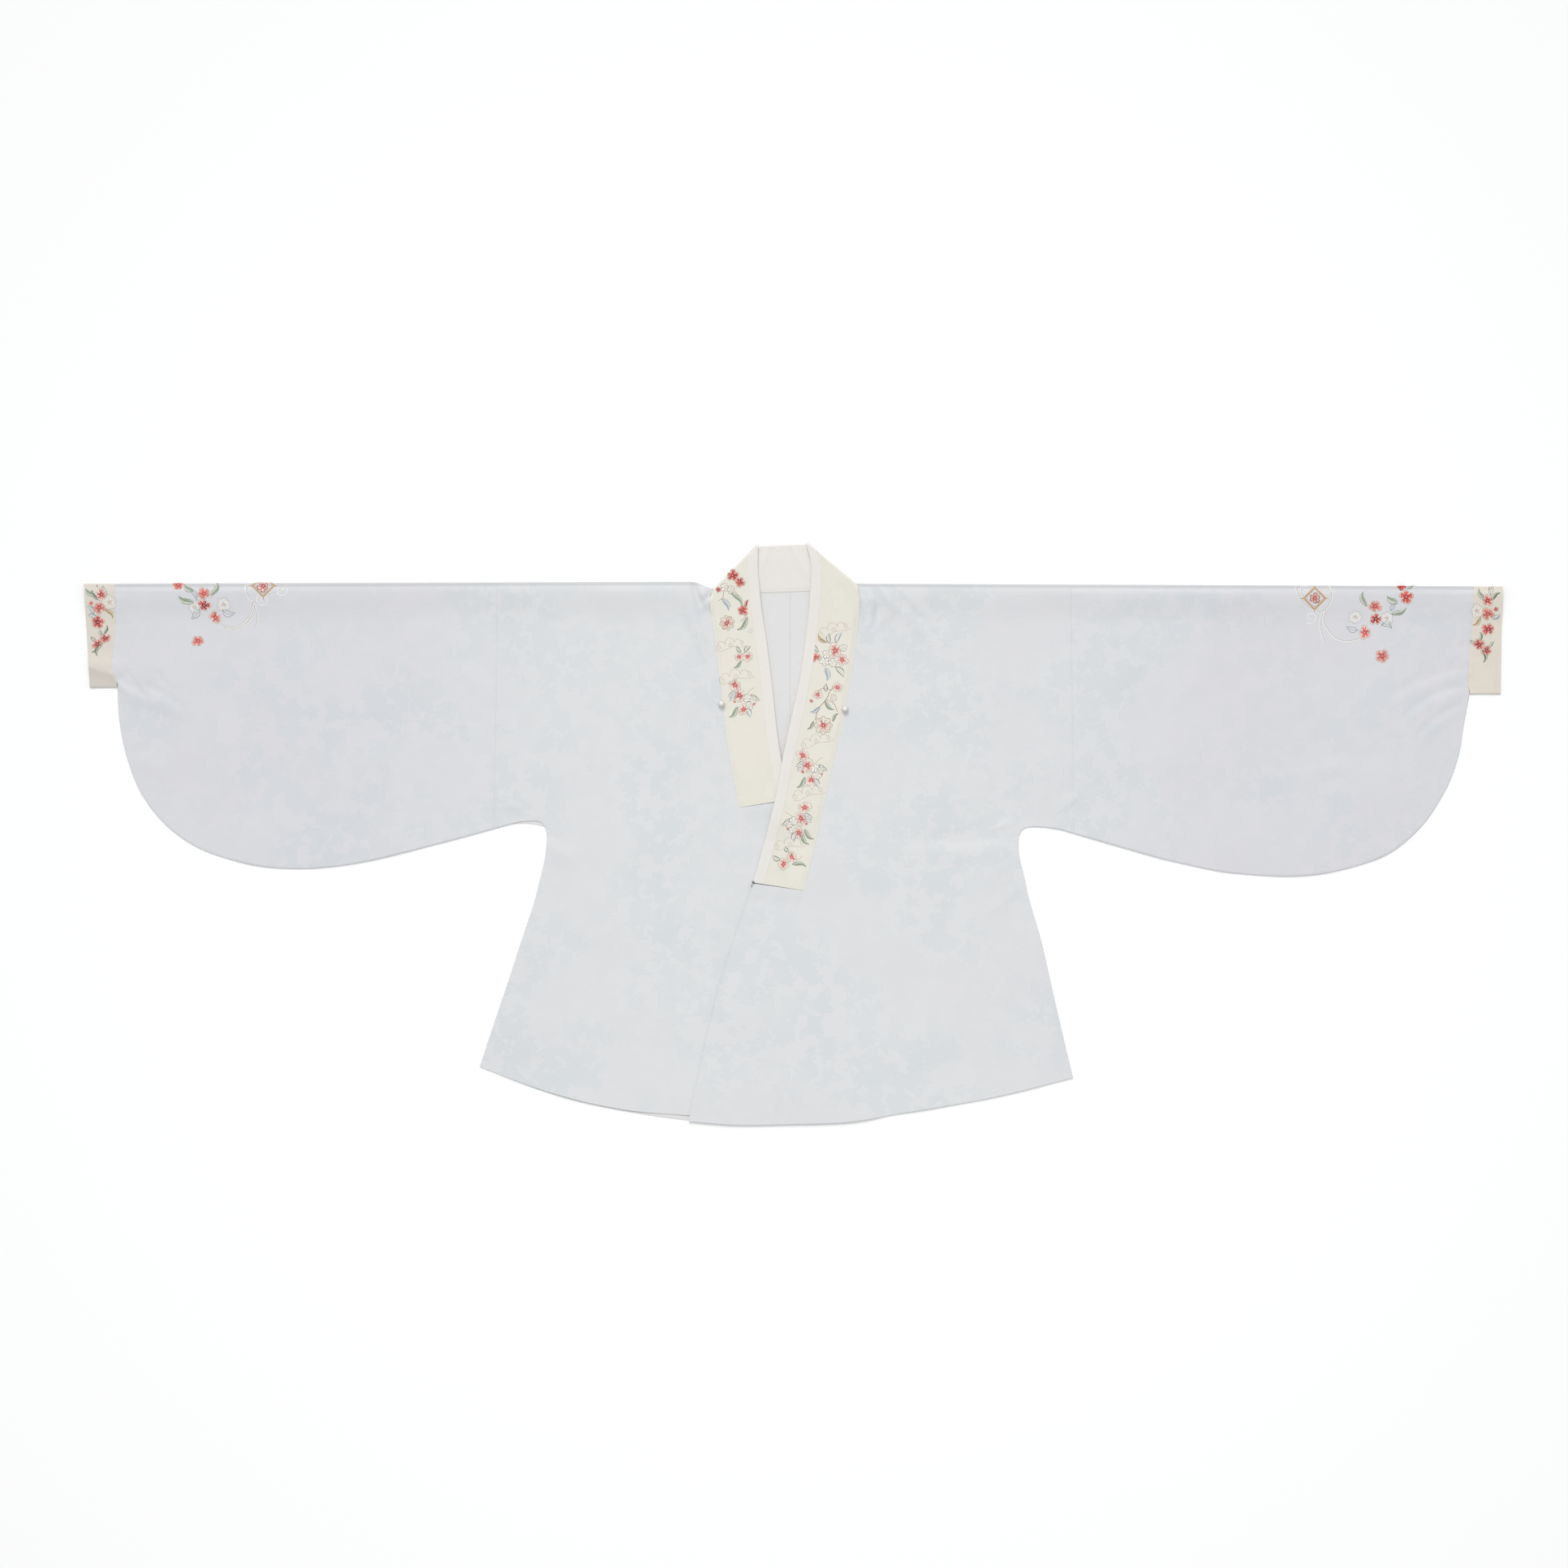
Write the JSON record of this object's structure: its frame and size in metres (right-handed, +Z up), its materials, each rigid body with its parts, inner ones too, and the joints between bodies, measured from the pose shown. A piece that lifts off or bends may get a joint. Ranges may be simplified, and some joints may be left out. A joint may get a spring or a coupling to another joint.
{
  "type": "hanfu robe laid flat",
  "caption": "Crossed-collar hanfu top with full rounded sleeves, contrast cuffs and an embroidered collar band, laid flat with the front upwards.",
  "frame": {"origin": "on the surface that the robe lies on, under the middle of its box", "axes": "+X towards the wearer's left sleeve, +Y from the hem towards the collar, +Z up out of the front of the robe"},
  "size_m": [1.7994, 0.739, 0.0107],
  "materials": {
    "pale_cloth": "pale blue-grey satin jacquard with tone-on-tone leaves",
    "cuff_cloth": "warm cream satin with embroidered blossoms",
    "cream_band": "cream satin with embroidered sprays",
    "white_guard": "plain off-white cotton satin",
    "pearl": "nacre lustre"
  },
  "bodies": {
    "root": {"body_right": "pale_cloth", "body_left": "pale_cloth", "sleeve_right": "pale_cloth", "sleeve_left": "pale_cloth", "cuff_right": "cuff_cloth", "cuff_left": "cuff_cloth", "collar": "cream_band", "collar_guard": "white_guard", "pearl_right": "pearl", "pearl_left": "pearl"}
  },
  "joints": []
}
